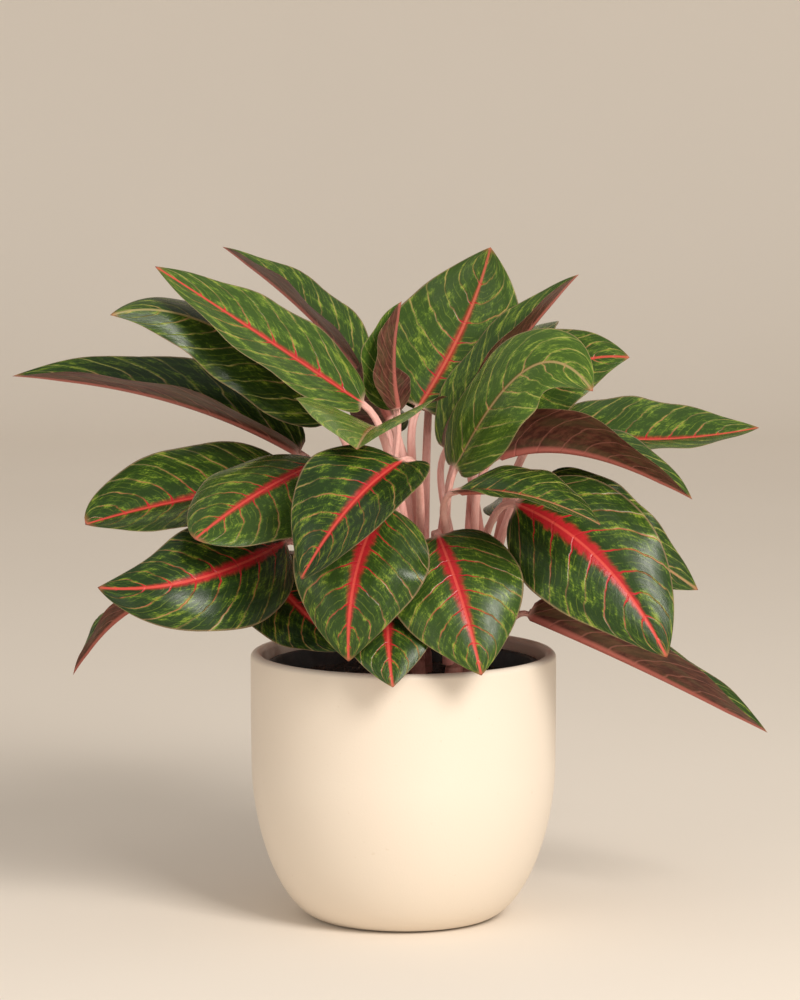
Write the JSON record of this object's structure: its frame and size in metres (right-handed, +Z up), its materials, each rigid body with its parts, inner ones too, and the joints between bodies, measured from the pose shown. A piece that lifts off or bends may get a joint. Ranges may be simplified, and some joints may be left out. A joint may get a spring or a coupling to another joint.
{
  "type": "potted chinese evergreen",
  "caption": "Bushy foliage plant with broad pointed red-veined leaves on pink stalks, growing in a black nursery pot set inside a round cream ceramic pot.",
  "frame": {"origin": "the centre of the ceramic pot's flat base", "axes": "+Z is up; the plant's front faces -Y"},
  "size_m": [0.446, 0.3453, 0.392],
  "materials": {
    "cream_ceramic": "matte",
    "black_plastic": "matte",
    "soil": "crumbly, matt",
    "cane": "smooth plant stem",
    "leaf": "glossy leaf, green with red veins"
  },
  "bodies": {
    "root": {"ceramic_pot": "cream_ceramic", "nursery_pot": "black_plastic", "soil": "soil", "cane_front_left": "cane", "cane_front_right": "cane", "cane_right": "cane", "cane_back": "cane", "cane_left": "cane", "leaf_top_left_back": "leaf", "leaf_top_left_long": "leaf", "leaf_left_hooked": "leaf", "leaf_left_reaching": "leaf", "leaf_left_broad": "leaf", "leaf_left_folded": "leaf", "leaf_left_low": "leaf", "leaf_left_drooping": "leaf", "leaf_left_tucked": "leaf", "leaf_left_shaded": "leaf", "leaf_front_left": "leaf", "leaf_front_upper": "leaf", "leaf_front_low": "leaf", "leaf_front_right": "leaf", "leaf_right_broad": "leaf", "leaf_right_arched": "leaf", "leaf_right_behind": "leaf", "leaf_right_low_long": "leaf", "leaf_right_small": "leaf", "leaf_right_long": "leaf", "leaf_right_raised": "leaf", "leaf_top_right_blunt": "leaf", "leaf_top_right_arched": "leaf", "leaf_top_right_folded": "leaf", "leaf_top_broad": "leaf", "leaf_top_rolled": "leaf", "leaf_centre_young": "leaf", "leaf_centre_turned": "leaf", "leaf_back_right_upper": "leaf", "leaf_back_upright": "leaf", "leaf_back_left_upper": "leaf", "leaf_back_left": "leaf", "leaf_back_right": "leaf", "leaf_back_right_low": "leaf", "leaf_back_left_low": "leaf", "leaf_back_low": "leaf", "leaf_back_top": "leaf"}
  },
  "joints": []
}
